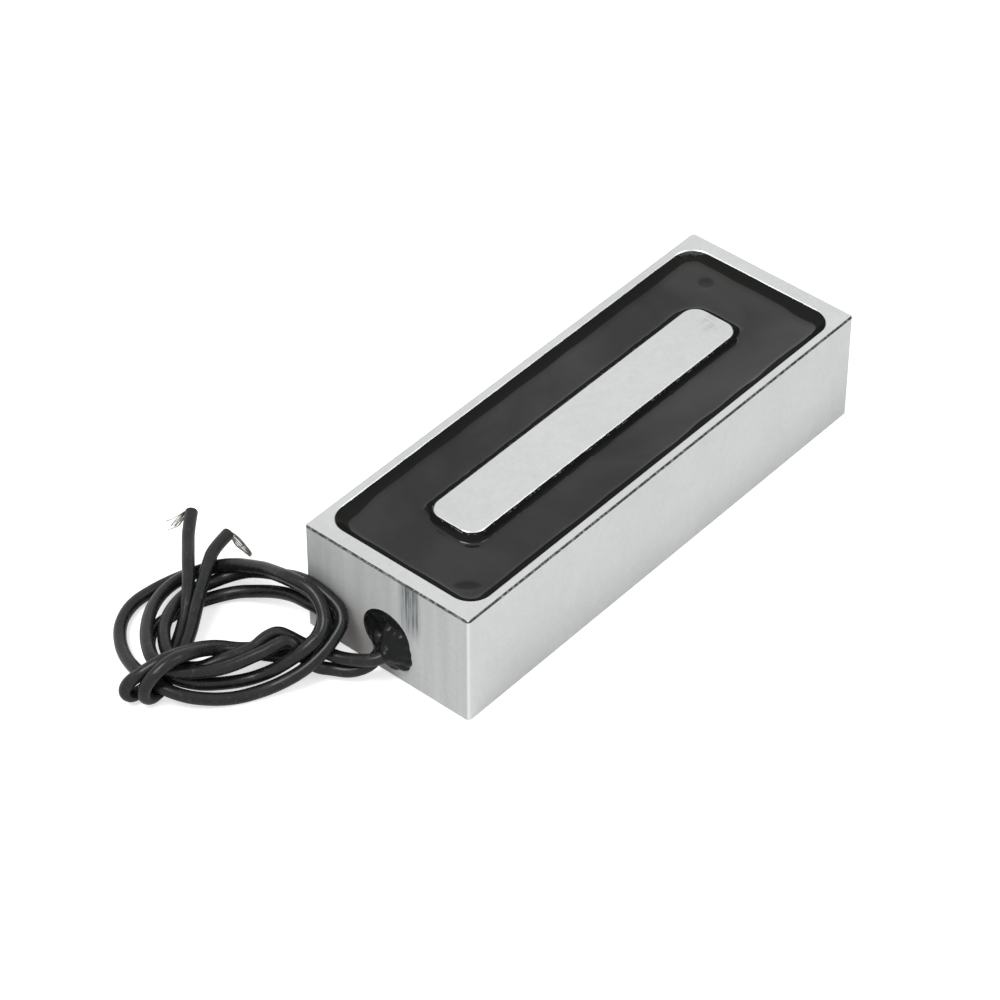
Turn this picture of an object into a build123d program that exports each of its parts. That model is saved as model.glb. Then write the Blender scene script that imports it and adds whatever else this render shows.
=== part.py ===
from build123d import *
from math import acos, atan2, degrees, dist, pi, radians, tan
import os

# A rectangular holding electromagnet: a steel block with a racetrack pocket round a centre pole,
# a coil potted in the pocket, and two flying leads that leave one end wall and lie in a loose coil.
# Millimetres. The origin is the centre of the mounting face, +Z points to the holding face,
# and the leads leave towards -X.

# Steel block
LENGTH = 100.0
WIDTH = 35.0
HEIGHT = 22.0
END_WALL = 3.1
SIDE_WALL = 1.7
BACK = 3.2
POCKET_CORNER = 4.0
UPRIGHT_ROUND = 0.8
EDGE_BREAK = 0.3
MOUTH_BREAK = 0.15

# Centre pole, machined from the same block
POLE_LENGTH = 68.8
POLE_WIDTH = 10.2
POLE_CORNER = 2.8

# Hole for the leads through the end wall
LEAD_HOLE_RADIUS = 5.0
LEAD_HOLE_Z = 8.4

# Two tapped M5 holes in the back, under the pole
TAP_CORE_RADIUS = 2.1
TAP_DEPTH = 9.0
TAP_SPACING = 50.0
TAP_MOUTH_RADIUS = 2.7
DRILL_POINT_ANGLE = 118.0
DRILL_TIP_RADIUS = 0.05

# Coil former, winding and tape: growths of the pole's outline, and levels above the pocket floor
FORMER_GAP = 0.3
FORMER_WALL = 1.0
WINDING_BUILD = 6.6
TAPE_THICKNESS = 0.25
FLANGE_OVERHANG = 0.75
FLANGE_THICKNESS = 1.0
FORMER_HEIGHT = 14.4
NOTCH_WIDTH = 2.2
NOTCH_Y = -4.0

# Casting resin, sunk below the faces with a meniscus up every wall
RESIN_LEVEL = 20.2
RESIN_EDGE_LEVEL = 21.7
MENISCUS_RADIUS = 1.4
MENISCUS_SKIN = 0.1
BUBBLE_MARK = (42.3, 8.4)
BUBBLE_RADIUS = 1.15
SINK_MARK = (-42.1, -10.4)
SINK_MARK_LENGTH = 2.6
SINK_MARK_WIDTH = 2.0
SINK_MARK_TURN = -48.0
MARK_DEPTH = 0.3

# Leads: stranded hook-up wire
LEAD_DIAMETER = 2.2
BEND_SHARE = 0.45
SPLICE_X = -45.1
SPLICE_Z = 8.3
SPLICE_FROM = 8.2
SPLICE_TO = 12.4
SPLICE_RADIUS = 0.55
SLEEVE_FROM = 7.0
SLEEVE_SHOULDER = 8.6
SLEEVE_NECK = 9.6
SLEEVE_TO = 13.0
SLEEVE_RADIUS = 1.4
SLEEVE_NECK_RADIUS = 0.85
TAIL_RADIUS = 0.25

# Sealing compound in the lead hole, with a lump round the leads
EXIT_X = -49.6
LUMP_CENTRE = (-48.9, -0.6, 6.0)
LUMP_RADIUS = 3.4

# Routes, as points chosen along the real wires: each lead from its splice to the loose coil
LEAD_A_EXIT = (EXIT_X, -1.9, 6.6)
LEAD_B_EXIT = (EXIT_X, 0.7, 5.2)
LEAD_A_ROUTE = [
    (SPLICE_X, -SPLICE_FROM, SPLICE_Z), (SPLICE_X, -4.6, SPLICE_Z), (-46.6, -2.3, 7.5),
    LEAD_A_EXIT, (-51.6, -1.7, 6.4), (-53.6, -0.5, 5.7), (-54.9, 2.4, 4.8), (-55.7, 6.3, 4.3), (-56.4, 10.0, 4.3),
]
LEAD_B_ROUTE = [
    (SPLICE_X, SPLICE_FROM, SPLICE_Z), (SPLICE_X, 4.4, SPLICE_Z), (-46.4, 1.6, 7.0),
    LEAD_B_EXIT, (-51.4, 0.8, 4.1), (-53.2, 1.4, 2.9), (-55.5, 3.4, 2.0), (-57.9, 6.1, 1.9), (-59.8, 9.2, 2.3),
]

# Routes of the two free ends, out of the middle of the coil and back over its far side
LEAD_A_END = [
    (-71.4, 27.7, 1.2), (-68.0, 29.4, 2.0), (-64.0, 31.9, 4.8), (-59.6, 35.3, 6.3), (-55.2, 39.7, 6.7),
    (-48.9, 45.2, 8.0),
]
LEAD_B_END = [
    (-69.8, 26.0, 1.8), (-66.3, 27.8, 3.0), (-62.1, 30.4, 5.9), (-57.3, 33.9, 6.8), (-52.5, 37.0, 6.8),
    (-48.6, 37.3, 7.4),
]
STRANDS_A_TIP = (-52.9, 46.8, 7.0)
STRANDS_B_TIP = (-45.3, 35.9, 2.0)
STRANDS_ROOT_RADIUS = 0.5
STRANDS_FAN_WIDE = 1.4
STRANDS_FAN_THICK = 0.5

# Routes of the winding wire's two ends, to the splices
START_TAIL = [
    (-38.0, NOTCH_Y, 16.2), (-44.4, NOTCH_Y, 17.2), (SPLICE_X, -14.1, 13.5),
    (SPLICE_X, -14.1, SPLICE_Z), (SPLICE_X, -SPLICE_TO, SPLICE_Z),
]
FINISH_TAIL = [
    (-40.0, 7.4, 12.4), (SPLICE_X, 14.1, 12.4), (SPLICE_X, 14.1, SPLICE_Z), (SPLICE_X, SPLICE_TO, SPLICE_Z),
]

# Loose coil of both leads, in its own axes: u towards the block's lead end, v away from the block's side
COIL_CENTRE = (-61.5, 24.2)
COIL_TURN = -49.3
COIL_OUTSIDE = (0.0, 0.2)
COIL_HALF_U = 21.0
COIL_HALF_V = 17.5
COIL_HOLE = (0.4, 2.8)
COIL_HOLE_HALF_U = 6.6
COIL_HOLE_HALF_V = 4.5
COIL_LEFT_TOP = 6.1
COIL_DIP_FROM = -10.4
COIL_DIP_TO = -8.9
COIL_LOW_TOP = 4.9
COIL_HIGH_TOP = 13.6
COIL_RISE_FROM = -4.2
COIL_RISE_TO = 9.0
TIE_FROM = (8.0, -6.0)
TIE_TO = (-14.6, -13.5)
TIE_RADIUS = 3.9
TIE_TOP = 9.4
COIL_EDGE = 0.7
COIL_CLEARANCE = 0.1


def pole_outline(growth):
    """Outline of the centre pole, grown outwards by a given amount."""
    return RectangleRounded(POLE_LENGTH + 2 * growth, POLE_WIDTH + 2 * growth, POLE_CORNER + growth)


def pocket_outline(growth):
    """Outline of the pocket, grown outwards by a given amount."""
    length = LENGTH - 2 * END_WALL + 2 * growth
    width = WIDTH - 2 * SIDE_WALL + 2 * growth
    return RectangleRounded(length, width, POCKET_CORNER + growth)


def between(outline, low, high):
    """Upright solid of an outline between two levels."""
    return Pos(0, 0, low) * extrude(outline, high - low)


def racetrack(inner, outer, low, high):
    """Ring round the pole between two growths of its outline."""
    return between(pole_outline(outer) - pole_outline(inner), low, high)


def bar_along_x(radius, start, end, y, z):
    """Round bar along X between two places."""
    middle = (start + end) / 2
    return Pos(middle, y, z) * Rot(0, 90, 0) * Cylinder(radius, abs(end - start))


def bar_along_y(start_radius, end_radius, start, end, side):
    """Round or tapered bar along Y on the splices' line, on the side given by its sign."""
    middle = side * (start + end) / 2
    place = Pos(SPLICE_X, middle, SPLICE_Z) * Rot(-90 * side, 0, 0)
    if start_radius == end_radius:
        return place * Cylinder(start_radius, end - start)
    return place * Cone(start_radius, end_radius, end - start)


def bend_radii(points):
    """Radius of each corner of a route: a share of its shorter run, by how far the corner turns."""
    radii = []
    for before, corner, after in zip(points, points[1:], points[2:]):
        first = dist(before, corner)
        second = dist(corner, after)
        along = sum((c - b) * (a - c) for b, c, a in zip(before, corner, after))
        turn = acos(min(1.0, along / (first * second)))
        radii.append(BEND_SHARE * min(first, second) / tan(turn / 2))
    return radii


def wire(points, radius):
    """Round wire along a route of straight runs and tangent bends."""
    path = FilletPolyline(*points, radius=bend_radii(points))
    section = Plane(origin=path @ 0, z_dir=path % 0) * Circle(radius)
    return sweep(section, path=path), path


def tapped_hole():
    """Core bore of one tapped hole, with its drill point and countersunk mouth."""
    standing = (Align.CENTER, Align.CENTER, Align.MIN)
    point = TAP_CORE_RADIUS / tan(radians(DRILL_POINT_ANGLE / 2))
    sink = TAP_MOUTH_RADIUS - TAP_CORE_RADIUS
    bore = Cylinder(TAP_CORE_RADIUS, TAP_DEPTH, align=standing)
    bore += Pos(0, 0, TAP_DEPTH) * Cone(TAP_CORE_RADIUS, DRILL_TIP_RADIUS, point, align=standing)
    bore += Cone(TAP_MOUTH_RADIUS, TAP_CORE_RADIUS, sink, align=standing)
    return bore


def make_yoke():
    """Steel block with its pocket, centre pole, lead hole and two tapped holes in the back."""
    block = Box(LENGTH, WIDTH, HEIGHT, align=(Align.CENTER, Align.CENTER, Align.MIN))
    block = fillet(block.edges().filter_by(Axis.Z), UPRIGHT_ROUND)
    ends = block.faces().sort_by(Axis.Z)
    block = chamfer(ends[0].edges() + ends[-1].edges(), EDGE_BREAK)
    block -= between(pocket_outline(0) - pole_outline(0), BACK, HEIGHT)
    holding_faces = block.faces().filter_by_position(Axis.Z, HEIGHT, HEIGHT)
    pole_face, rim_face = holding_faces.sort_by(lambda face: face.bounding_box().size.X)
    rims = pole_face.outer_wire().edges() + rim_face.inner_wires()[0].edges()
    block = chamfer(rims, MOUTH_BREAK)
    block -= bar_along_x(LEAD_HOLE_RADIUS, -LENGTH / 2 - END_WALL, -LENGTH / 2 + 2 * END_WALL, 0, LEAD_HOLE_Z)
    for side in (-1, 1):
        block -= Pos(side * TAP_SPACING / 2, 0, 0) * tapped_hole()
    return block


def make_bobbin():
    """Moulded former with two flanges, and a notch in the upper one for the start of the winding."""
    core = FORMER_GAP + FORMER_WALL
    outer = core + WINDING_BUILD + TAPE_THICKNESS + FLANGE_OVERHANG
    top = BACK + FORMER_HEIGHT
    former = racetrack(FORMER_GAP, core, BACK, top)
    former += racetrack(FORMER_GAP, outer, BACK, BACK + FLANGE_THICKNESS)
    former += racetrack(FORMER_GAP, outer, top - FLANGE_THICKNESS, top)
    notch_start = -POLE_LENGTH / 2 - core
    notch_length = outer
    notch = Box(notch_length, NOTCH_WIDTH, FLANGE_THICKNESS, align=(Align.MAX, Align.CENTER, Align.MIN))
    return former - Pos(notch_start, NOTCH_Y, top - FLANGE_THICKNESS) * notch


def make_winding():
    """Copper winding as the one body that its layers fill."""
    core = FORMER_GAP + FORMER_WALL
    return racetrack(core, core + WINDING_BUILD, BACK + FLANGE_THICKNESS, BACK + FORMER_HEIGHT - FLANGE_THICKNESS)


def make_tape():
    """Insulating tape wrapped round the winding."""
    inner = FORMER_GAP + FORMER_WALL + WINDING_BUILD
    outer = inner + TAPE_THICKNESS
    return racetrack(inner, outer, BACK + FLANGE_THICKNESS, BACK + FORMER_HEIGHT - FLANGE_THICKNESS)


def make_splice(side):
    """Soldered joint of a lead's conductor and the winding wire."""
    return bar_along_y(SPLICE_RADIUS, SPLICE_RADIUS, SPLICE_FROM, SPLICE_TO, side)


def make_sleeve(side):
    """Shrink sleeve over the end of the insulation and the joint."""
    sleeve = bar_along_y(SLEEVE_RADIUS, SLEEVE_RADIUS, SLEEVE_FROM, SLEEVE_SHOULDER, side)
    sleeve += bar_along_y(SLEEVE_RADIUS, SLEEVE_NECK_RADIUS, SLEEVE_SHOULDER, SLEEVE_NECK, side)
    sleeve += bar_along_y(SLEEVE_NECK_RADIUS, SLEEVE_NECK_RADIUS, SLEEVE_NECK, SLEEVE_TO, side)
    return sleeve


def make_meniscus_dish():
    """What is missing above the resin: a tray with rounded foot edges, by the wetted walls."""
    tray = between(pocket_outline(-MENISCUS_SKIN) - pole_outline(MENISCUS_SKIN), RESIN_LEVEL, HEIGHT)
    return fillet(tray.faces().sort_by(Axis.Z)[0].edges(), MENISCUS_RADIUS)


def mark_cutter(width, length, turn):
    """Shallow lens that leaves a dimple of a given width and length."""
    ball_radius = (width * width / 4 + MARK_DEPTH * MARK_DEPTH) / (2 * MARK_DEPTH)
    rise = ball_radius - MARK_DEPTH
    if length == 0:
        return Pos(0, 0, rise) * Sphere(ball_radius)
    bar = Rot(0, 90, 0) * Cylinder(ball_radius, length)
    ends = Pos(length / 2, 0, 0) * Sphere(ball_radius) + Pos(-length / 2, 0, 0) * Sphere(ball_radius)
    return Rot(0, 0, turn) * Pos(0, 0, rise) * (bar + ends)


def make_resin(buried):
    """Casting resin round everything in the pocket, with its meniscus and two surface marks."""
    resin = between(pocket_outline(0) - pole_outline(0), BACK, RESIN_EDGE_LEVEL)
    resin -= make_meniscus_dish()
    resin -= Pos(*BUBBLE_MARK, RESIN_LEVEL) * mark_cutter(2 * BUBBLE_RADIUS, 0, 0)
    resin -= Pos(*SINK_MARK, RESIN_LEVEL) * mark_cutter(SINK_MARK_WIDTH, SINK_MARK_LENGTH, SINK_MARK_TURN)
    for piece in buried:
        resin -= piece
    return resin


def make_sealant(yoke, leads):
    """Sealing compound: a plug in the lead hole, and the lump it forms round the leads."""
    plug = bar_along_x(LEAD_HOLE_RADIUS, EXIT_X, -LENGTH / 2 + END_WALL, 0, LEAD_HOLE_Z)
    outside = Pos(EXIT_X, 0, 0) * Box(LENGTH, LENGTH, LENGTH, align=(Align.MAX, Align.CENTER, Align.CENTER))
    lump = Pos(*LUMP_CENTRE) * Sphere(LUMP_RADIUS) & outside
    sealant = plug + lump - yoke
    for lead in leads:
        sealant -= lead
    return sealant


def make_coil():
    """Outer shape of the loose coil and of the wrap that ties it, as one closed body."""
    outside = Pos(*COIL_OUTSIDE) * Ellipse(COIL_HALF_U, COIL_HALF_V)
    hole = Pos(*COIL_HOLE) * Ellipse(COIL_HOLE_HALF_U, COIL_HOLE_HALF_V)
    reach = 2 * COIL_HALF_U
    side_view = Polygon(
        (-reach, 0), (reach, 0), (reach, COIL_HIGH_TOP), (COIL_RISE_TO, COIL_HIGH_TOP), (COIL_RISE_FROM, COIL_LOW_TOP),
        (COIL_DIP_TO, COIL_LOW_TOP), (COIL_DIP_FROM, COIL_LEFT_TOP), (-reach, COIL_LEFT_TOP), align=None,
    )
    ring = between(outside - hole, 0, COIL_HIGH_TOP)
    ring &= extrude(Plane.XZ * side_view, reach, both=True)
    run_u = TIE_TO[0] - TIE_FROM[0]
    run_v = TIE_TO[1] - TIE_FROM[1]
    middle = ((TIE_FROM[0] + TIE_TO[0]) / 2, (TIE_FROM[1] + TIE_TO[1]) / 2)
    slope = degrees(atan2(run_v, run_u))
    tie = between(SlotCenterToCenter(dist(TIE_FROM, TIE_TO), 2 * TIE_RADIUS), 0, TIE_TOP)
    tie = chamfer(tie.faces().sort_by(Axis.Z)[-1].edges(), COIL_EDGE)
    coil = ring + Pos(*middle) * Rot(0, 0, slope) * tie
    coil = Pos(*COIL_CENTRE) * Rot(0, 0, COIL_TURN) * coil
    clear = Box(LENGTH + 2 * COIL_CLEARANCE, WIDTH + 2 * COIL_CLEARANCE, 3 * HEIGHT)
    return coil - clear


def split_at_exit(lead):
    """Cut a lead at the sealant's face into its stretch inside and its stretch outside."""
    pieces = split(lead, Plane.YZ.offset(EXIT_X), keep=Keep.BOTH).solids().sort_by(Axis.X)
    return pieces[-1], pieces[0]


def make_strands(path, tip):
    """Bare strands at a stripped end, as the tapering fan that they fill."""
    root = path @ 1
    heading = Vector(*tip) - root
    root_section = Plane(origin=root, z_dir=heading) * Circle(STRANDS_ROOT_RADIUS)
    tip_plane = Plane(origin=tip, x_dir=heading.cross(Vector(0, 0, 1)), z_dir=heading)
    tip_section = tip_plane * Ellipse(STRANDS_FAN_WIDE, STRANDS_FAN_THICK)
    return loft([root_section, tip_section])


yoke = make_yoke()
lead_radius = LEAD_DIAMETER / 2
lead_a, lead_a_path = wire(LEAD_A_ROUTE, lead_radius)
lead_b, lead_b_path = wire(LEAD_B_ROUTE, lead_radius)
end_a, end_a_path = wire(LEAD_A_END, lead_radius)
end_b, end_b_path = wire(LEAD_B_END, lead_radius)
start_tail, start_path = wire(START_TAIL, TAIL_RADIUS)
finish_tail, finish_path = wire(FINISH_TAIL, TAIL_RADIUS)

winding = make_winding()
bobbin = make_bobbin()
start_tail -= winding
finish_tail -= winding
tape = make_tape() - finish_tail
coil = make_coil()
lead_a_inner, lead_a_outside = split_at_exit(lead_a)
lead_b_inner, lead_b_outside = split_at_exit(lead_b)
splice_a = make_splice(-1)
splice_b = make_splice(1)
sleeve_a = make_sleeve(-1) - lead_a_inner - splice_a - start_tail
sleeve_b = make_sleeve(1) - lead_b_inner - splice_b - finish_tail
buried = [bobbin, winding, tape, start_tail, finish_tail, lead_a_inner, lead_b_inner]
buried += [splice_a, splice_b, sleeve_a, sleeve_b]

nodes = {
    "yoke": yoke,
    "coil_bobbin": bobbin,
    "copper_winding": winding,
    "winding_tape": tape,
    "winding_start_tail": start_tail,
    "winding_finish_tail": finish_tail,
    "lead_a_splice": splice_a,
    "lead_b_splice": splice_b,
    "lead_a_sleeve": sleeve_a,
    "lead_b_sleeve": sleeve_b,
    "lead_a_inner": lead_a_inner,
    "lead_b_inner": lead_b_inner,
    "potting_resin": make_resin(buried),
    "exit_sealant": make_sealant(yoke, [lead_a, lead_b]),
    "lead_a_run": lead_a_outside - coil,
    "lead_b_run": lead_b_outside - coil,
    "lead_coil": coil,
    "lead_a_end": end_a - coil,
    "lead_b_end": end_b - coil,
    "lead_a_strands": make_strands(end_a_path, STRANDS_A_TIP) - end_a,
    "lead_b_strands": make_strands(end_b_path, STRANDS_B_TIP) - end_b,
}

os.makedirs("parts", exist_ok=True)
for name, shape in nodes.items():
    solids = shape.solids()
    print(name, "solids", len(solids), "volume", round(shape.volume, 2), "valid", all(s.is_valid for s in solids))
    export_step(shape, f"parts/{name}.step")

section = pi * lead_radius * lead_radius
for name, body, path, route in (
    ("lead_a", lead_a, lead_a_path, LEAD_A_ROUTE),
    ("lead_b", lead_b, lead_b_path, LEAD_B_ROUTE),
    ("lead_a_end", end_a, end_a_path, LEAD_A_END),
    ("lead_b_end", end_b, end_b_path, LEAD_B_END),
):
    print(name, "bend radii", [round(radius, 1) for radius in bend_radii(route)])
    print(name, "volume", round(body.volume, 1), "section x length", round(section * path.length, 1))
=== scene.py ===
import math

import bmesh
import bpy
from mathutils import Matrix, Vector, noise


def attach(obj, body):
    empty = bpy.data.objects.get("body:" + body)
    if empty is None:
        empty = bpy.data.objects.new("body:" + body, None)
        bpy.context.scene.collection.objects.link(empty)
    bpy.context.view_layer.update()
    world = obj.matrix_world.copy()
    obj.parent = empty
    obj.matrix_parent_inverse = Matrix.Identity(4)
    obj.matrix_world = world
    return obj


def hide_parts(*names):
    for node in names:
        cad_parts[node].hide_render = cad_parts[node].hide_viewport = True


# A rectangular holding electromagnet: a plated steel block with a coil potted round its centre pole,
# and two black flying leads that lie beside it in a loose tied coil.
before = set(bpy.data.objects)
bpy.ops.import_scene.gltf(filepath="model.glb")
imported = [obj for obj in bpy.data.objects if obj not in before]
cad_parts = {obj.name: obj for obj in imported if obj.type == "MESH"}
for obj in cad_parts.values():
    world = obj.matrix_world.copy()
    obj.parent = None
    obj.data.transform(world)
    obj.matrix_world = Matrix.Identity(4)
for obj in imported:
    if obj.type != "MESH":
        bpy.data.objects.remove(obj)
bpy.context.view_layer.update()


# Studio: the camera of the photograph, a white floor that keeps the soft shadows, and white surroundings
# that the metal reflects. Nothing here belongs to the object. Lengths are in millimetres, and MM turns
# them into the frame's metres.
MM = 0.001
VIEW_AZIMUTH = math.radians(-49.314)
VIEW_ELEVATION = math.radians(42.082)
VIEW_ROLL = math.radians(0.077)
VIEW_DISTANCE = 670.1
VIEW_ACROSS = -14.4
VIEW_UP = 2.55
SENSOR_WIDTH = 36.0
FOCAL_LENGTH = 3963.084 / 1000 * SENSOR_WIDTH

towards = Vector((
    math.sin(VIEW_AZIMUTH) * math.cos(VIEW_ELEVATION),
    -math.cos(VIEW_AZIMUTH) * math.cos(VIEW_ELEVATION),
    math.sin(VIEW_ELEVATION),
))
across = Vector((math.cos(VIEW_AZIMUTH), math.sin(VIEW_AZIMUTH), 0))
upward = towards.cross(across)
camera = bpy.data.objects.new("camera", bpy.data.cameras.new("camera"))
bpy.context.scene.collection.objects.link(camera)
camera.data.lens = FOCAL_LENGTH
camera.data.sensor_width = SENSOR_WIDTH
right = math.cos(VIEW_ROLL) * across + math.sin(VIEW_ROLL) * upward
over = math.cos(VIEW_ROLL) * upward - math.sin(VIEW_ROLL) * across
place = (across * VIEW_ACROSS + upward * VIEW_UP + towards * VIEW_DISTANCE) * MM
camera.matrix_world = Matrix.Translation(place) @ Matrix((right, over, towards)).transposed().to_4x4()
camera.data.clip_start = 0.01
bpy.context.scene.camera = camera
bpy.context.scene.view_settings.view_transform = "Standard"


class Sock:
    """The output of a node in a finish. Arithmetic on it adds Math nodes, and node() adds any other node."""

    def __init__(self, tree, output):
        self.tree = tree
        self.output = output

    def node(self, kind, settings=None, values=None, output=0):
        """Add a node to the same tree: its settings first, then the values or links of its sockets."""
        made = self.tree.nodes.new(kind)
        for name, value in (settings or {}).items():
            setattr(made, name, value)
        for name, value in (values or {}).items():
            if isinstance(value, Sock):
                self.tree.links.new(value.output, made.inputs[name])
            else:
                made.inputs[name].default_value = value
        return Sock(self.tree, made.outputs[output] if made.outputs else None)

    def math(self, operation, first, second=0.0):
        return self.node("ShaderNodeMath", {"operation": operation}, {0: first, 1: second})

    def __add__(self, other):
        return self.math("ADD", self, other)

    def __sub__(self, other):
        return self.math("SUBTRACT", self, other)

    def __rsub__(self, other):
        return self.math("SUBTRACT", other, self)

    def __mul__(self, other):
        return self.math("MULTIPLY", self, other)

    def __abs__(self):
        return self.math("ABSOLUTE", self)

    __radd__ = __add__
    __rmul__ = __mul__

    def parts(self):
        """The x, y and z of a vector."""
        return [self.node("ShaderNodeSeparateXYZ", None, {0: self}, axis) for axis in range(3)]

    def between(self, low, high):
        """0 at low and 1 at high, smooth between them, whichever is larger."""
        return self.node("ShaderNodeMapRange", {"interpolation_type": "SMOOTHSTEP"},
                         {"Value": self, "From Min": low, "From Max": high})

    def away(self, place):
        """Distance of these coordinates from a point."""
        return self.node("ShaderNodeVectorMath", {"operation": "DISTANCE"}, {0: self, 1: place}, "Value")

    def round(self, middle, reach, core):
        """1 within core of a middle, fading to 0 at its reach."""
        return abs(self - middle).between(reach, core)

    def noise(self, scale, detail=2.0, roughness=0.5, stretch=(1, 1, 1), distortion=0.0):
        """Noise on these coordinates, with its scale in features per metre."""
        grown = self.node("ShaderNodeVectorMath", {"operation": "MULTIPLY"}, {0: self, 1: stretch})
        return grown.node("ShaderNodeTexNoise", None, {
            "Vector": grown, "Scale": scale, "Detail": detail, "Roughness": roughness,
            "Distortion": distortion})

    def shade(self, dark, light):
        """Colour from dark at 0 to light at 1, each a colour or another output."""
        ends = [end if isinstance(end, Sock) else (*end, 1.0) for end in (dark, light)]
        return self.node("ShaderNodeMix", {"data_type": "RGBA"},
                         {"Factor": self, 6: ends[0], 7: ends[1]}, 2)

    def bump(self, distance, strength=1.0):
        """Normal that these heights, times a distance in metres, give a surface."""
        return self.node("ShaderNodeBump", None, {"Height": self, "Distance": distance, "Strength": strength})


def new_finish(name):
    """Empty material, and the object coordinates in it."""
    material = bpy.data.materials.new(name)
    material.use_nodes = True
    material.node_tree.nodes.clear()
    coordinates = Sock(material.node_tree, None).node("ShaderNodeTexCoord", None, None, "Object")
    return material, coordinates


def close_finish(material, values):
    """Give a material its shader with these socket values or links."""
    start = Sock(material.node_tree, None)
    shader = start.node("ShaderNodeBsdfPrincipled", None, values)
    start.node("ShaderNodeOutputMaterial", None, {"Surface": shader})


def dress(material, *names):
    """Put a finish on nodes whose shape stays as it is."""
    for name in names:
        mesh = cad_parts[name].data
        mesh.materials.clear()
        mesh.materials.append(material)


SURROUNDINGS = 0.62
world = bpy.data.worlds.new("surroundings")
bpy.context.scene.world = world
world.use_nodes = True
world.node_tree.nodes.clear()
start = Sock(world.node_tree, None)
from_camera = start.node("ShaderNodeLightPath", None, None, "Is Camera Ray")
reflected = start.node("ShaderNodeLightPath", None, None, "Is Glossy Ray")
strength = start.math("MAXIMUM", from_camera, reflected) * (1 - SURROUNDINGS) + SURROUNDINGS
shader = start.node("ShaderNodeBackground", None, {"Color": (1, 1, 1, 1), "Strength": strength})
start.node("ShaderNodeOutputWorld", None, {"Surface": shader})

FLOOR_REACH = 4.0
FLOOR_TONE = (0.84, 0.84, 0.84, 1)
FLOOR_GLOW = 0.6
floor_mesh = bpy.data.meshes.new("floor")
floor_mesh.from_pydata(
    [(-FLOOR_REACH, -FLOOR_REACH, 0), (FLOOR_REACH, -FLOOR_REACH, 0),
     (FLOOR_REACH, FLOOR_REACH, 0), (-FLOOR_REACH, FLOOR_REACH, 0)], [], [(0, 1, 2, 3)])
floor = bpy.data.objects.new("floor", floor_mesh)
bpy.context.scene.collection.objects.link(floor)
paper, coordinates = new_finish("white_paper")
glow = coordinates.node("ShaderNodeLightPath", None, None, "Is Camera Ray") * FLOOR_GLOW
close_finish(paper, {
    "Base Color": FLOOR_TONE, "Roughness": 0.9, "Specular IOR Level": 0.1,
    "Emission Color": glow.shade((0, 0, 0), (1, 1, 1)), "Emission Strength": 1.0})
floor_mesh.materials.append(paper)


def add_softbox(name, azimuth, elevation, distance, width, power):
    """Square area lamp that faces the object from a direction given in degrees."""
    lamp = bpy.data.objects.new(name, bpy.data.lights.new(name, "AREA"))
    bpy.context.scene.collection.objects.link(lamp)
    turn, lift = math.radians(azimuth), math.radians(elevation)
    aim = Vector((math.sin(turn) * math.cos(lift), -math.cos(turn) * math.cos(lift), math.sin(lift)))
    lamp.location = aim * distance
    lamp.rotation_mode = "QUATERNION"
    lamp.rotation_quaternion = aim.to_track_quat("Z", "Y")
    lamp.data.size = width
    lamp.data.energy = power


add_softbox("key_softbox", -100, 60, 0.9, 0.38, 4.2)
add_softbox("fill_softbox", 20, 45, 1.0, 0.45, 1.8)


# Steel block: milled from bar, its faces ground and dull nickel plated. The end wall is duller, and its
# colour is painted darker as shade, with soft upright milling marks and a scuff by the lead hole. The holding
# face's outer edges carry a painted dark line of shade, broken by nicks, and the upright corner carries a
# painted highlight.
HALF_LENGTH, HALF_WIDTH, HEIGHT = [
    max(corner[axis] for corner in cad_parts["yoke"].bound_box) for axis in range(3)]
GROUND = ((0.61, 0.62, 0.62), (0.68, 0.69, 0.69))
MILLED_AND_SHADED = ((0.45, 0.46, 0.46), (0.54, 0.55, 0.55))
WARM_TONE = (0.52, 0.49, 0.46)
CORNER_HIGHLIGHT_TONE = (0.88, 0.88, 0.88)
SCUFF_TONE = (0.085, 0.105, 0.115)
EDGE_SHADE_TONE = (0.045, 0.045, 0.047)
SMUDGE_TONE = (0.40, 0.42, 0.43)
WARM_ACROSS = 6.5
SCUFF_ACROSS = -5.2
SMUDGE_PLACE = (32.2, -0.2)
TAP_FROM_MIDDLE = 25.0
TAP_RADII = (2.57, 2.49)
TAP_TOP = 10.5
THREAD_PITCH = 0.8
THREAD_DEPTH = 0.1
SKIN_DEPTH = 0.01

steel, coordinates = new_finish("plated_steel")
x, y, z = coordinates.parts()
cloud = coordinates.noise(38, 4, 0.55)
speckle = coordinates.noise(1100, 3, 0.6)
grain = coordinates.noise(240, 3, 0.55, (1, 1, 0.45), 1.4)
milling = coordinates.noise(420, 3, 0.5, (1, 1, 0.03))
from_end = x + HALF_LENGTH
from_side = y + HALF_WIDTH
from_face = HEIGHT - z
end_wall = from_end.between(0.2 * MM, 0.04 * MM)
colour = (cloud * 0.4 + grain * 0.25 + speckle * 0.35).between(0.32, 0.68).shade(*GROUND)
# Painted shade: the end wall's colour is set darker than the ground faces, and its real milling marks are in
# it.
dull_and_shaded = (milling * 0.65 + speckle * 0.35).between(0.3, 0.7).shade(*MILLED_AND_SHADED)
warm = y.round(WARM_ACROSS * MM, 3.5 * MM, 1.0 * MM) * z.between(14 * MM, 8 * MM)
colour = end_wall.shade(colour, (warm * 0.6).shade(dull_and_shaded, WARM_TONE))
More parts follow.
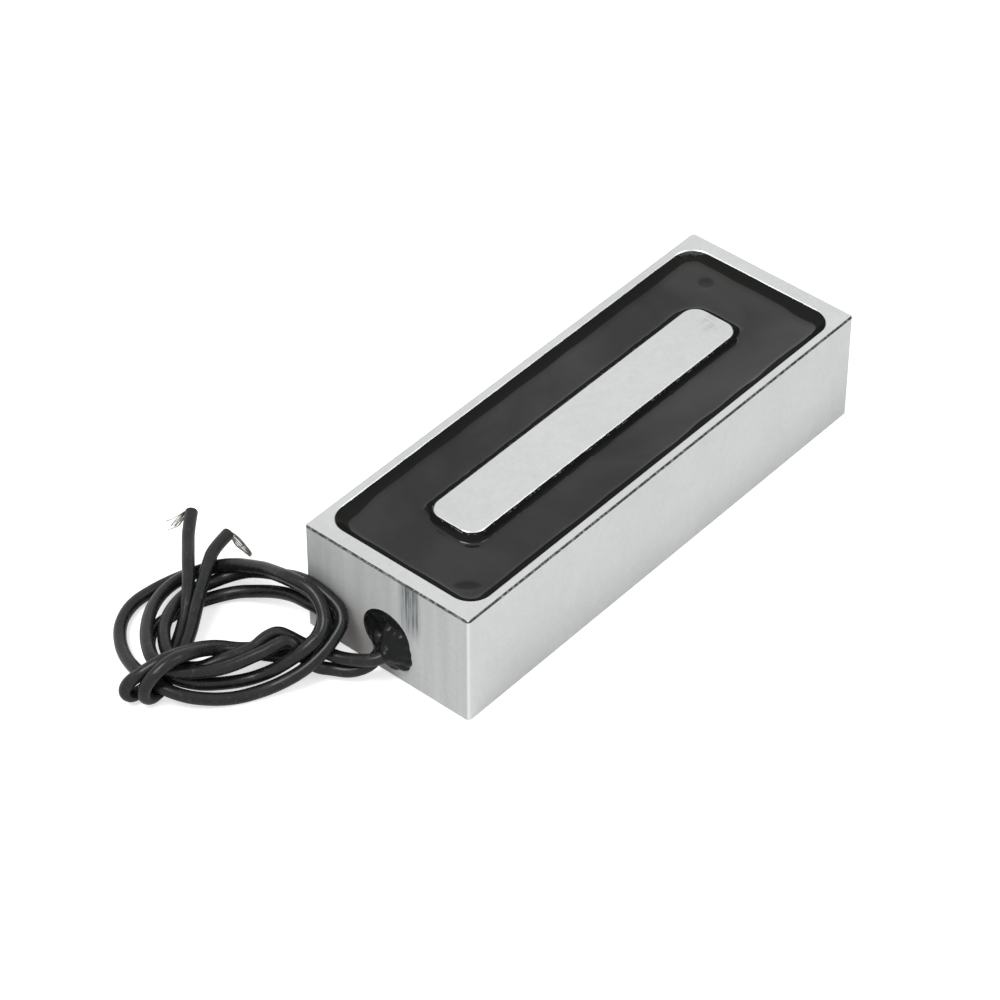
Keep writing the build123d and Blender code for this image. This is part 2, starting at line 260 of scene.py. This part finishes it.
# Painted highlight: a lighter line down the upright corner between the end wall and the near side.
corner = from_end.between(0.6 * MM, 0.3 * MM) * from_side.between(0.6 * MM, 0.3 * MM)
colour = (corner * 0.5).shade(colour, CORNER_HIGHLIGHT_TONE)
scratches = coordinates.noise(2600, 3, 0.6, (1, 1, 0.04)).between(0.42, 0.58)
scuff = y.round(SCUFF_ACROSS * MM, 2.9 * MM, 0.9 * MM) * z.between(9.5 * MM, 15.5 * MM) * end_wall
colour = (scuff * (scratches * 0.6 + 0.4)).shade(colour, SCUFF_TONE)
# Painted shade: a dark line along the holding face's outer edges, where the chamfer lies in shade, broken by
# real nicks.
outside = coordinates.math("MAXIMUM", abs(x) - HALF_LENGTH, abs(y) - HALF_WIDTH)
nicks = coordinates.noise(1500, 3, 0.7).between(0.36, 0.52)
edge_shade_line = outside.between(-0.34 * MM, -0.26 * MM) * from_face.between(0.38 * MM, 0.3 * MM)
colour = (edge_shade_line * (nicks * 0.3 + 0.7)).shade(colour, EDGE_SHADE_TONE)
hatching = coordinates.noise(1300, 2, 0.5, (0.15, 1, 1)) * coordinates.noise(1300, 2, 0.5, (1, 0.15, 1))
smudge = coordinates.away((SMUDGE_PLACE[0] * MM, SMUDGE_PLACE[1] * MM, HEIGHT)).between(3.1 * MM, 0.8 * MM)
colour = (smudge * hatching.between(0.18, 0.34) * 0.5).shade(colour, SMUDGE_TONE)
from_tap = x - x.math("SIGN", x) * (TAP_FROM_MIDDLE * MM)
tapped = (from_tap * from_tap + y * y).between((TAP_RADII[0] * MM) ** 2, (TAP_RADII[1] * MM) ** 2)
tapped = tapped * z.between(TAP_TOP * MM, (TAP_TOP - 0.5) * MM)
thread = z.math("SINE", z * (math.tau / (THREAD_PITCH * MM)) - z.math("ARCTAN2", y, from_tap))
skin = grain * 0.6 + milling * end_wall * 0.5 + speckle * 0.25
close_finish(steel, {
    "Base Color": colour,
    "Metallic": 1 - end_wall * 0.78,
    "Roughness": 0.28 + cloud * 0.12 + end_wall * 0.15,
    "Normal": (skin * (SKIN_DEPTH * MM) + thread * tapped * (THREAD_DEPTH * MM)).bump(1.0),
})
dress(steel, "yoke")


# Casting resin: black epoxy poured round the coil. It stands 1.8 mm below the faces and has crept up the
# walls to a ragged edge, widest along two of them. It has two shallow dimples, and is hollow for the coil.
RESIN_LEVEL = 20.2
RESIN_FOOT = 3.2
POCKET = (46.9, 15.8, 4.0)
POLE = (34.4, 5.1, 2.8)
HOLLOW_GROWTHS = (0.3, 8.9)
HOLLOW_FOOT = 3.3
HOLLOW_TOP = 17.6
LONG_STEPS = 210
SHORT_STEPS = 64
CORNER_STEPS = 14
FROM_WALL = [0, 0.07, 0.16, 0.28, 0.42, 0.58, 0.78, 1.0, 1.3, 1.7]
MIDDLE_STEPS = 14
RUN_WAY = Vector((0.76, 0.65))
RUN_SOFTNESS = 0.55
BARE_CORNER = ((45.8, 14.6), (2.6, 2.6))
BLOB = ((46.4, -9.8), (3.2, 3.2))
POOL = ((-42.5, 15.0), (4.0, 3.0))
BUBBLE_MARK = (42.2, 8.5)
BUBBLE_RADIUS = 1.5
BUBBLE_DEPTH = 0.22
SINK_MARK = (-42.1, -10.4)
SINK_WAY = (0.67, -0.74)
SINK_REACH = (2.2, 1.0)
SINK_DEPTH = 0.2


def grown(outline, growth):
    """Half length, half width and corner radius of a rounded rectangle, grown outwards."""
    return tuple(value + growth for value in outline)


def walk(outline):
    """Points of a rounded rectangle, as many on each side and corner whatever its size."""
    half_length, half_width, corner = outline
    points = []
    for quarter, way in enumerate(((1, 1), (-1, 1), (-1, -1), (1, -1))):
        middle = Vector((way[0] * (half_length - corner), way[1] * (half_width - corner)))
        for step in range(CORNER_STEPS):
            angle = math.radians(90) * (quarter + step / CORNER_STEPS)
            points.append(middle + corner * Vector((math.cos(angle), math.sin(angle))))
        angle = math.radians(90) * (quarter + 1)
        here = middle + corner * Vector((math.cos(angle), math.sin(angle)))
        steps = LONG_STEPS if quarter % 2 == 0 else SHORT_STEPS
        run = 2 * (half_length if quarter % 2 == 0 else half_width) - 2 * corner
        ahead = Vector((-math.sin(angle), math.cos(angle)))
        points += [here + ahead * run * step / steps for step in range(steps)]
    return points


def from_outline(spot, outline):
    """Signed distance of a point from a rounded rectangle, negative inside it."""
    over = [abs(spot[axis]) - outline[axis] + outline[2] for axis in (0, 1)]
    return math.hypot(max(over[0], 0), max(over[1], 0)) + min(max(over), 0) - outline[2]


def ripple(spot, size, seed):
    """Smooth chance between -1 and 1, with waves of about a given size."""
    return noise.noise((spot[0] / size, spot[1] / size, seed))


def mound(spot, place, reach):
    """1 at a place, fading round it over its reach along and across the block."""
    return math.exp(-((spot[0] - place[0]) / reach[0]) ** 2 - ((spot[1] - place[1]) / reach[1]) ** 2)


def leaning(spot, outline):
    """How far the nearest wall looks to the side to which the setting resin ran, from -1 to 1."""
    over = [max(abs(spot[axis]) - outline[axis] + outline[2], 0) for axis in (0, 1)]
    way = Vector([math.copysign(over[axis], spot[axis]) for axis in (0, 1)]).normalized()
    share = way.dot(RUN_WAY) / RUN_SOFTNESS
    return math.sin(math.radians(90) * min(max(share, -1), 1))


def up_pocket(spot):
    """How far the resin has crept up by the pocket's walls."""
    leant = leaning(spot, POCKET)
    climb = 1.7 + 0.05 * ripple(spot, 2.4, 1) + 0.04 * ripple(spot, 0.6, 2)
    climb -= mound(spot, *BARE_CORNER) * (0.95 + 0.9 * ripple(spot, 0.9, 8))
    reach = 2.0 - 0.15 * leant + 0.35 * ripple(spot, 6.0, 3)
    reach += 0.9 * mound(spot, *BLOB) + 1.1 * mound(spot, *POOL)
    return climb * max(0.0, 1 + from_outline(spot, POCKET) / reach) ** (1.55 + 0.5 * leant)


def up_pole(spot):
    """How far the resin has crept up by the pole."""
    leant = leaning(spot, POLE)
    climb = 1.68 + 0.07 * ripple(spot, 1.6, 4) + 0.04 * ripple(spot, 0.5, 5)
    reach = 0.55 + 0.4 * max(-leant, 0) + 1.5 * max(leant, 0)
    reach += 0.2 * ripple(spot, 5.0, 6) + 0.1 * ripple(spot, 1.2, 9)
    return climb * max(0.0, 1 - from_outline(spot, POLE) / reach) ** (1.4 - 0.33 * max(leant, 0))


def in_sink(x, y, unit):
    """Place along and beside the long dimple, of numbers in millimetres or outputs in metres."""
    x, y = x - SINK_MARK[0] * unit, y - SINK_MARK[1] * unit
    return x * SINK_WAY[0] + y * SINK_WAY[1], x * SINK_WAY[1] - y * SINK_WAY[0]


def resin_height(spot):
    """Height of the resin's face: level, crept up both walls, and sunk at the two dimples."""
    height = RESIN_LEVEL + up_pocket(spot) + up_pole(spot) + 0.03 * ripple(spot, 6.0, 7)
    bubble = math.dist(spot, BUBBLE_MARK) / BUBBLE_RADIUS
    along, beside = in_sink(*spot, 1)
    sink = (along / SINK_REACH[0]) ** 2 + (beside / SINK_REACH[1]) ** 2
    return height - BUBBLE_DEPTH * max(0.0, 1 - bubble * bubble) - SINK_DEPTH * max(0.0, 1 - sink)


def ring_mesh(form, rings):
    """Join rings of points into the closed skin of a ring, and return its faces."""
    rows = [[form.verts.new(Vector(point) * MM) for point in ring] for ring in rings]
    faces = []
    for row, following in zip(rows, rows[1:] + rows[:1]):
        for index in range(len(row)):
            ahead = (index + 1) % len(row)
            faces.append(form.faces.new((row[index], row[ahead], following[ahead], following[index])))
    return faces


form = bmesh.new()
inner, outer = walk(POLE), walk(POCKET)
rings = [[(*point, RESIN_FOOT) for point in inner]]
for step in range(2 * len(FROM_WALL) + MIDDLE_STEPS):
    ring = []
    for first, last in zip(inner, outer):
        width = (last - first).length
        if step < len(FROM_WALL):
            share = FROM_WALL[step] / width
        elif step < len(FROM_WALL) + MIDDLE_STEPS:
            edge_share = FROM_WALL[-1] / width
            share = edge_share + (1 - 2 * edge_share) * (step - len(FROM_WALL) + 1) / (MIDDLE_STEPS + 1)
        else:
            share = 1 - FROM_WALL[2 * len(FROM_WALL) + MIDDLE_STEPS - 1 - step] / width
        spot = first.lerp(last, share)
        ring.append((*spot, resin_height(spot)))
    rings.append(ring)
rings.append([(*point, RESIN_FOOT) for point in outer])
for face in ring_mesh(form, rings)[len(inner):-2 * len(inner)]:
    face.smooth = True
near, far = [walk(grown(POLE, growth)) for growth in HOLLOW_GROWTHS]
hollow_section = ((near, HOLLOW_FOOT), (near, HOLLOW_TOP), (far, HOLLOW_TOP), (far, HOLLOW_FOOT))
bmesh.ops.recalc_face_normals(form, faces=form.faces)
hollow_faces = ring_mesh(form, [[(*point, height) for point in ring] for ring, height in hollow_section])
bmesh.ops.recalc_face_normals(form, faces=hollow_faces)
bmesh.ops.reverse_faces(form, faces=hollow_faces)
resin_mesh = bpy.data.meshes.new("casting_resin")
form.to_mesh(resin_mesh)
form.free()

DEEP = (0.010, 0.011, 0.011)
HAZY = (0.015, 0.014, 0.013)
GLINT_TONE = (0.20, 0.20, 0.20)

resin, coordinates = new_finish("casting_resin")
x, y, z = coordinates.parts()
film = coordinates.noise(42, 4, 0.6, (1, 1, 1), 0.6)
broad = coordinates.noise(16, 2, 0.5)
dust = coordinates.noise(2200, 2)
wrinkle = coordinates.noise(900, 3, 0.6, (1, 1, 0.4), 1.0)
level = z.between(20.44 * MM, 20.32 * MM)
by_pole = abs(y).between(9 * MM, 8 * MM) * abs(x).between(41 * MM, 40 * MM)
crest = z.between(21.35 * MM, 21.55 * MM) * wrinkle.between(0.5, 0.6) * by_pole
# Painted highlight: a light streak in the resin's colour just below the top of its crest by the pole,
# standing in for glints.
painted_glint = z.between(21.48 * MM, 21.56 * MM) * z.between(21.68 * MM, 21.6 * MM)
painted_glint = painted_glint * wrinkle.between(0.54, 0.6) * by_pole
bubble = coordinates.away((BUBBLE_MARK[0] * MM, BUBBLE_MARK[1] * MM, 20 * MM)).between(1.2 * MM, 1.6 * MM)
along, beside = in_sink(x, y, MM)
sink = (along * along * 0.2 + beside * beside).between(0.4 * MM ** 2, 1.4 * MM ** 2)
sheen = film.between(0.3, 0.7) * 0.3 + broad.between(0.38, 0.62) * 0.5 + 0.45
glossy = level * sheen * (bubble * 0.5 + 0.5) * (sink * 0.65 + 0.35)
close_finish(resin, {
    "Base Color": painted_glint.shade(film.shade(DEEP, HAZY), GLINT_TONE),
    "Roughness": 0.6,
    "Specular IOR Level": 0.0,
    "Coat Weight": glossy * 0.95 + crest * 0.8 + 0.12,
    "Coat Roughness": 0.1,
    "Coat IOR": 1.5,
    "Normal": (film * 0.6 + dust * 0.05 + wrinkle * (1 - level) * 0.3).bump(0.1 * MM, 0.3),
})
resin_mesh.materials.append(resin)
resin_ring = bpy.data.objects.new("casting_resin", resin_mesh)
bpy.context.scene.collection.objects.link(resin_ring)
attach(resin_ring, "root")
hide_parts("potting_resin")


# Sealing compound: black epoxy that plugs the lead hole, a little sunk at its upper side. Below, it was drawn
# out over the leads while it set, in folds that run from the leads to the rim of the hole.
PLUG_CENTRE = (-48.25, 0, 8.4)
PLUG_RADIUS = 5.02
PLUG_LENGTH = 2.7
FOLD_ROOT = (-52.4, -0.7, 5.7)
FOLD_ENDS = [
    (-49.5, -4.1, 7.2), (-49.6, -4.1, 5.6), (-49.6, -3.5, 4.3), (-49.5, -2.8, 8.8), (-49.6, -1.8, 3.5),
    (-49.5, -0.4, 9.2), (-49.6, 1.0, 4.0), (-49.4, 2.2, 6.4),
]
FOLD_RADII = (0.85, 1.45)
FOLD_BOW = 0.9
FOLD_BEADS = 14
COLLARS = [
    ((-50.6, -1.8, 6.5), 1.5), ((-51.9, -1.5, 6.3), 1.3), ((-50.6, 0.6, 4.6), 1.5), ((-51.8, 0.9, 3.9), 1.3),
]
LUMP_GRID = 0.17
LUMP_STARTS = -49.0

form = bmesh.new()
across_wall = Matrix.Translation(Vector(PLUG_CENTRE) * MM) @ Matrix.Rotation(math.radians(90), 4, "Y")
bmesh.ops.create_cone(form, cap_ends=True, segments=72, radius1=PLUG_RADIUS * MM, radius2=PLUG_RADIUS * MM,
                      depth=PLUG_LENGTH * MM, matrix=across_wall)
beads = list(COLLARS)
for end in FOLD_ENDS:
    for step in range(FOLD_BEADS):
        share = step / (FOLD_BEADS - 1)
        centre = Vector(FOLD_ROOT).lerp(Vector(end), share)
        centre.x += FOLD_BOW * share * (1 - share)
        beads.append((centre, FOLD_RADII[0] + (FOLD_RADII[1] - FOLD_RADII[0]) * share))
for centre, radius in beads:
    bmesh.ops.create_icosphere(form, subdivisions=3, radius=radius * MM,
                               matrix=Matrix.Translation(Vector(centre) * MM))
rough_mesh = bpy.data.meshes.new("rough_compound")
form.to_mesh(rough_mesh)
form.free()
rough = bpy.data.objects.new("rough_compound", rough_mesh)
bpy.context.scene.collection.objects.link(rough)
remesh = rough.modifiers.new("skin", "REMESH")
remesh.mode = "VOXEL"
remesh.voxel_size = LUMP_GRID * MM
smooth = rough.modifiers.new("smooth", "SMOOTH")
smooth.factor = 0.6
smooth.iterations = 16
run_together = rough.evaluated_get(bpy.context.evaluated_depsgraph_get())
compound_mesh = bpy.data.meshes.new_from_object(run_together)
bpy.data.objects.remove(rough)
for vertex in compound_mesh.vertices:
    spot = vertex.co / MM
    if spot.x < LUMP_STARTS:
        push = 0.2 * noise.noise(spot / 1.9) + 0.05 * noise.noise(spot / 0.7)
        vertex.co += vertex.normal * push * MM
for face in compound_mesh.polygons:
    face.use_smooth = True

compound, coordinates = new_finish("sealing_compound")
smear = coordinates.noise(300, 2, 0.5, (0.3, 1, 1), 1.2)
close_finish(compound, {
    "Base Color": smear.shade((0.004, 0.005, 0.005), (0.010, 0.010, 0.010)),
    "Roughness": smear.between(0.3, 0.7) * 0.2 + 0.16,
    "Specular IOR Level": 0.16,
    "Normal": smear.bump(0.22 * MM, 0.6),
})
compound_mesh.materials.clear()
compound_mesh.materials.append(compound)
sealing = bpy.data.objects.new("sealing_compound", compound_mesh)
bpy.context.scene.collection.objects.link(sealing)
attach(sealing, "root")
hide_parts("exit_sealant")


# Bare strands: the tinned copper strands of each stripped end, splayed apart and bent back by handling.
STRAND_DIAMETER = 0.2
STRANDS_A = [
    [(-49.1, 44.6, 7.2), (-48.2, 45.6, 7.6), (-49.3, 45.9, 7.5), (-50.3, 46.3, 7.1), (-51.5, 46.8, 6.7),
     (-52.3, 47.6, 6.3)],
    [(-49.1, 44.5, 7.3), (-48.3, 45.7, 7.5), (-49.4, 46.0, 7.3), (-50.0, 46.2, 7.0), (-51.1, 46.3, 6.6),
     (-52.3, 46.2, 6.2)],
    [(-49.0, 44.7, 7.1), (-48.2, 45.7, 7.3), (-49.5, 46.0, 7.1), (-50.4, 45.9, 6.9), (-51.4, 46.0, 6.5),
     (-52.2, 46.2, 6.1)],
    [(-48.9, 44.6, 7.2), (-48.1, 45.5, 7.3), (-49.3, 46.1, 7.0), (-50.8, 45.7, 6.7), (-52.0, 45.7, 6.3)],
    [(-49.0, 44.5, 7.0), (-48.2, 45.7, 7.0), (-49.4, 46.1, 6.7), (-50.7, 45.6, 6.5), (-51.3, 45.7, 6.2),
     (-52.0, 45.7, 5.9)],
    [(-49.1, 44.7, 7.0), (-48.3, 45.8, 6.9), (-49.7, 45.9, 6.4), (-51.3, 45.3, 6.1), (-51.9, 45.6, 5.9),
     (-53.0, 46.4, 5.6)],
    [(-49.0, 44.6, 7.1), (-48.4, 45.9, 6.8), (-49.8, 45.7, 6.2), (-51.6, 45.2, 6.0), (-52.0, 45.8, 5.8)],
]
STRANDS_B = [
    [(-48.6, 37.1, 6.7), (-47.5, 37.3, 6.7), (-46.7, 37.3, 6.1), (-45.9, 36.5, 4.7), (-45.4, 35.7, 3.2),
     (-45.0, 34.9, 1.8)],
    [(-48.6, 37.2, 6.6), (-47.6, 37.3, 6.6), (-47.0, 37.0, 6.0), (-46.3, 36.3, 4.6), (-45.8, 35.5, 3.1),
     (-45.1, 34.9, 1.6)],
    [(-48.6, 37.1, 6.5), (-47.6, 37.3, 6.5), (-47.2, 37.0, 5.9), (-46.6, 36.3, 4.5), (-46.0, 35.6, 3.0),
     (-45.2, 34.8, 1.5)],
    [(-48.6, 37.0, 6.5), (-47.6, 37.2, 6.5), (-47.4, 36.8, 5.9), (-46.9, 36.2, 4.4), (-46.3, 35.5, 2.9),
     (-45.4, 34.7, 1.5)],
    [(-48.6, 36.9, 6.4), (-47.5, 37.0, 6.4), (-47.6, 36.7, 5.7), (-47.5, 35.9, 4.5), (-46.6, 35.6, 3.2),
     (-45.5, 34.8, 1.4)],
    [(-48.6, 37.0, 6.4), (-47.5, 37.1, 6.3), (-47.6, 36.4, 5.7), (-47.6, 35.8, 4.9), (-47.2, 35.4, 4.1),
     (-46.1, 35.8, 3.6)],
    [(-48.6, 37.2, 6.7), (-47.4, 37.4, 6.6), (-46.7, 37.0, 6.0), (-46.0, 36.1, 4.3), (-45.5, 35.3, 2.7),
     (-45.1, 34.7, 1.6)],
]

tin, coordinates = new_finish("tinned_copper")
worn = coordinates.noise(700, 3)
close_finish(tin, {
    "Base Color": worn.between(0.35, 0.65).shade((0.26, 0.25, 0.21), (0.50, 0.49, 0.46)),
    "Metallic": 1.0,
    "Roughness": worn * 0.2 + 0.3,
    "Normal": worn.bump(0.02 * MM),
})


def lay_line(name, routes, diameter, sides, material):
    """Round wires on routes given in millimetres, each one open smooth spline of one curve."""
    line = bpy.data.curves.new(name, "CURVE")
    line.dimensions = "3D"
    for route in routes:
        spline = line.splines.new("NURBS")
        spline.points.add(len(route) - 1)
        for point, at in zip(spline.points, route):
            point.co = (at[0] * MM, at[1] * MM, at[2] * MM, 1)
        spline.order_u = 3
        spline.use_endpoint_u = True
    line.resolution_u = 8
    line.bevel_depth = diameter / 2 * MM
    line.bevel_resolution = sides
    line.use_fill_caps = True
    line.materials.append(material)
    laid = bpy.data.objects.new(name, line)
    bpy.context.scene.collection.objects.link(laid)
    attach(laid, "root")
    return laid


strands_a = lay_line("bare_strands_a", STRANDS_A, STRAND_DIAMETER, 2, tin)
strands_b = lay_line("bare_strands_b", STRANDS_B, STRAND_DIAMETER, 2, tin)
for strands, node in ((strands_a, "lead_a_strands"), (strands_b, "lead_b_strands")):
    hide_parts(node)


# Leads: two stranded hook-up wires in satin black insulation. They leave the sealing compound together,
# make a loose coil of about two turns, tie it with a wrap and come out of its middle to their bare ends.
# A turn is given by how far from the coil's centre and how high it lies, every 15 degrees.
LEAD_DIAMETER = 2.2
COIL_CENTRE = (-61.3, 24.0)
COIL_TURN = -49.3
TURN_STEP = 15
LEAD_A_RUN = [
    (-49.6, -1.9, 6.6), (-51.6, -1.7, 6.4), (-53.4, -0.7, 5.7), (-54.7, 2.2, 4.8), (-55.7, 5.2, 4.2),
    (-56.2, 7.2, 4.4), (-57.0, 9.3, 4.6), (-57.8, 11.3, 5.0), (-58.5, 13.2, 5.8), (-59.5, 15.1, 6.6),
    (-61.5, 16.0, 6.2), (-63.6, 16.3, 5.4), (-65.6, 17.1, 5.1), (-67.6, 18.1, 4.9),
]
LEAD_A_FIRST_ANGLE = -100
LEAD_A_TURNS = [
    (9.4, 4.6), (11.3, 3.8), (12.6, 3.9), (12.2, 4.4), (11.3, 4.3), (10.9, 4.0), (10.6, 3.8), (10.7, 3.5),
    (11.0, 3.3), (11.4, 3.0), (12.1, 2.4), (12.8, 2.8), (12.5, 4.3), (11.3, 6.1), (10.6, 7.7), (10.4, 9.3),
    (11.1, 11.1), (13.9, 11.8), (19.6, 9.5), (18.2, 6.6), (16.4, 4.0), (14.3, 1.8), (13.8, 1.2), (14.2, 1.1),
    (15.2, 1.6), (16.7, 2.5), (17.7, 3.5), (17.7, 3.2), (17.8, 2.1), (18.2, 1.4), (18.7, 1.2), (18.5, 1.2),
    (17.5, 1.1), (17.0, 1.1), (17.0, 1.1), (16.8, 1.6), (15.4, 2.6), (13.6, 4.1), (12.4, 5.7), (11.8, 7.3),
    (12.0, 9.1),
]
LEAD_A_TIE_AND_END = [
    (-51.2, 15.0, 9.4), (-51.7, 12.0, 8.2), (-53.5, 10.9, 5.7), (-55.9, 11.2, 3.4), (-58.4, 13.4, 3.3),
    (-59.0, 16.5, 2.7), (-60.8, 18.9, 1.4), (-63.1, 21.1, 1.6), (-65.5, 22.8, 2.9), (-68.3, 23.4, 4.3),
    (-71.1, 23.5, 5.8), (-74.0, 23.3, 7.1), (-77.1, 23.8, 7.7), (-80.2, 25.1, 6.5), (-80.9, 25.5, 6.0),
    (-81.9, 26.2, 5.2), (-82.7, 26.7, 4.2), (-83.1, 26.7, 2.8), (-82.2, 26.3, 1.7), (-80.9, 26.3, 1.4),
    (-79.4, 26.3, 1.2), (-78.5, 26.4, 1.1), (-74.4, 26.8, 1.1), (-71.0, 28.1, 1.3), (-67.7, 29.6, 2.0),
    (-64.6, 31.2, 3.2), (-61.9, 33.1, 4.8), (-59.2, 35.4, 5.9), (-56.7, 37.9, 6.5), (-53.9, 40.6, 6.6),
    (-51.9, 42.5, 6.9), (-48.4, 45.1, 7.3),
]
LEAD_B_RUN = [
    (-49.6, 0.7, 5.2), (-51.4, 0.8, 4.1), (-53.0, 1.2, 2.9), (-55.3, 3.2, 2.0), (-56.7, 6.1, 1.9),
    (-58.2, 7.5, 2.4), (-59.3, 9.1, 3.7), (-59.7, 10.3, 5.5), (-60.0, 11.9, 7.3), (-62.1, 13.0, 6.9),
    (-64.1, 13.8, 6.3), (-66.0, 14.9, 5.8),
]
LEAD_B_FIRST_ANGLE = -80
LEAD_B_TURNS = [
    (10.5, 5.3), (11.4, 4.9), (13.0, 5.0), (15.4, 5.3), (15.7, 5.6), (14.5, 5.1), (13.8, 4.6), (13.6, 4.0),
    (13.9, 3.4), (14.6, 2.8), (15.3, 2.5), (15.0, 3.0), (13.7, 4.6), (11.6, 6.5), (10.0, 8.1), (9.2, 9.5),
    (8.8, 10.6), (9.0, 11.7), (10.1, 12.7), (14.4, 12.6), (17.2, 9.1), (15.9, 7.5), (12.9, 3.8), (11.0, 1.8),
    (10.6, 1.3), (11.1, 1.4), (12.7, 2.0), (14.6, 3.2), (14.7, 3.6), (14.0, 2.8), (13.6, 2.2), (12.9, 1.9),
    (11.6, 1.3), (10.8, 1.1), (10.3, 1.1), (10.0, 1.1), (10.0, 1.3), (10.1, 1.8), (10.1, 2.4), (10.3, 3.4),
    (10.6, 4.6), (11.4, 5.8),
]
LEAD_B_TIE_AND_END = [
    (-51.2, 16.3, 6.4), (-50.9, 13.2, 6.4), (-51.4, 10.6, 4.4), (-53.9, 11.3, 2.3), (-56.4, 12.7, 1.1),
    (-59.0, 14.5, 1.1), (-61.4, 15.9, 2.2), (-63.5, 17.8, 3.4), (-65.8, 19.7, 4.4), (-68.4, 20.9, 5.6),
    (-71.1, 21.3, 7.0), (-74.0, 21.4, 8.2), (-77.0, 21.9, 8.8), (-80.1, 22.6, 7.4), (-80.7, 23.0, 6.5),
    (-81.4, 23.4, 5.4), (-81.7, 23.7, 4.1), (-81.6, 23.8, 2.7), (-80.6, 23.7, 1.7), (-79.3, 23.9, 1.2),
    (-77.9, 24.1, 1.1), (-77.0, 24.2, 1.1), (-73.1, 25.1, 2.1), (-70.0, 26.5, 2.7), (-66.7, 27.9, 3.5),
    (-63.8, 29.6, 4.6), (-60.8, 31.4, 5.6), (-57.8, 33.3, 6.0), (-54.6, 35.2, 6.4), (-52.1, 36.5, 6.7),
    (-47.8, 37.3, 6.6),
]

BLACK = ((0.008, 0.009, 0.009), (0.015, 0.015, 0.015))
RUBBED_TONE = (0.05, 0.051, 0.05)

insulation, coordinates = new_finish("insulation")
mottle = coordinates.noise(500, 4, 0.6)
scuffs = coordinates.noise(2600, 3, 0.7)
rubbed = coordinates.noise(900, 4, 0.75).between(0.56, 0.68)
close_finish(insulation, {
    "Base Color": (rubbed * 0.6).shade(mottle.between(0.3, 0.7).shade(*BLACK), RUBBED_TONE),
    "Roughness": mottle * 0.16 + 0.19,
    "Specular IOR Level": 0.28,
    "Normal": (mottle * 0.6 + scuffs * 0.4).bump(0.06 * MM, 0.6),
})


def around(first_angle, turns):
    """Points of the turns about the coil's centre."""
    points = []
    for count, (out, height) in enumerate(turns):
        angle = math.radians(COIL_TURN + first_angle - TURN_STEP * count)
        middle = Vector(COIL_CENTRE) + out * Vector((math.cos(angle), math.sin(angle)))
        points.append((*middle, height))
    return points


def declare_lead(name, route, nodes):
    """Lay one lead and hide the nodes that it replaces."""
    lead = lay_line(name, [route], LEAD_DIAMETER, 6, insulation)
    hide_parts(*nodes)
    tuple(value * MM for value in route[0])


declare_lead("lead_a", LEAD_A_RUN + around(LEAD_A_FIRST_ANGLE, LEAD_A_TURNS) + LEAD_A_TIE_AND_END,
             ["lead_a_run", "lead_a_end", "lead_coil"])
declare_lead("lead_b", LEAD_B_RUN + around(LEAD_B_FIRST_ANGLE, LEAD_B_TURNS) + LEAD_B_TIE_AND_END,
             ["lead_b_run", "lead_b_end", "lead_coil"])
dress(insulation, "lead_a_inner", "lead_b_inner")


# Inside the block, hidden by the resin: nylon former, enamelled winding and its two ends, film tape,
# soldered splices and their shrink sleeves.
nylon, coordinates = new_finish("natural_nylon")
flow = coordinates.noise(120, 3, 0.5, (1, 1, 0.2))
close_finish(nylon, {
    "Base Color": flow.shade((0.62, 0.59, 0.50), (0.76, 0.73, 0.64)),
    "Roughness": flow * 0.2 + 0.4,
    "Normal": coordinates.noise(3000).bump(0.02 * MM),
})
dress(nylon, "coil_bobbin")

WIRE_PITCH = 0.5
copper, coordinates = new_finish("enamelled_copper")
turns = coordinates.node("ShaderNodeTexWave", {"bands_direction": "Z"}, {
    "Vector": coordinates, "Scale": math.pi / (10 * WIRE_PITCH * MM), "Distortion": 0.0})
tint = coordinates.noise(180, 3)
close_finish(copper, {
    "Base Color": tint.shade((0.36, 0.10, 0.035), (0.56, 0.20, 0.07)),
    "Metallic": 0.8,
    "Roughness": tint * 0.2 + 0.2,
    "Coat Weight": 0.5,
    "Normal": turns.bump(0.1 * MM, 0.8),
})
dress(copper, "copper_winding", "winding_start_tail", "winding_finish_tail")

film_tape, coordinates = new_finish("film_tape")
crease = coordinates.noise(260, 3, 0.6, (1, 1, 0.3))
close_finish(film_tape, {
    "Base Color": crease.shade((0.56, 0.34, 0.05), (0.74, 0.50, 0.10)),
    "Roughness": crease * 0.2 + 0.15,
    "Normal": crease.bump(0.1 * MM, 0.5),
})
dress(film_tape, "winding_tape")

solder, coordinates = new_finish("solder")
grains = coordinates.noise(1800, 4, 0.65)
close_finish(solder, {
    "Base Color": grains.shade((0.42, 0.42, 0.43), (0.66, 0.66, 0.67)),
    "Metallic": 1.0,
    "Roughness": grains * 0.3 + 0.25,
    "Normal": grains.bump(0.05 * MM),
})
dress(solder, "lead_a_splice", "lead_b_splice")

sleeving, coordinates = new_finish("shrink_sleeve")
shrunk = coordinates.noise(1200, 3, 0.6, (1, 0.3, 1))
close_finish(sleeving, {
    "Base Color": shrunk.shade((0.016, 0.016, 0.017), (0.032, 0.032, 0.033)),
    "Roughness": shrunk * 0.25 + 0.35,
    "Normal": shrunk.bump(0.05 * MM),
})
dress(sleeving, "lead_a_sleeve", "lead_b_sleeve")
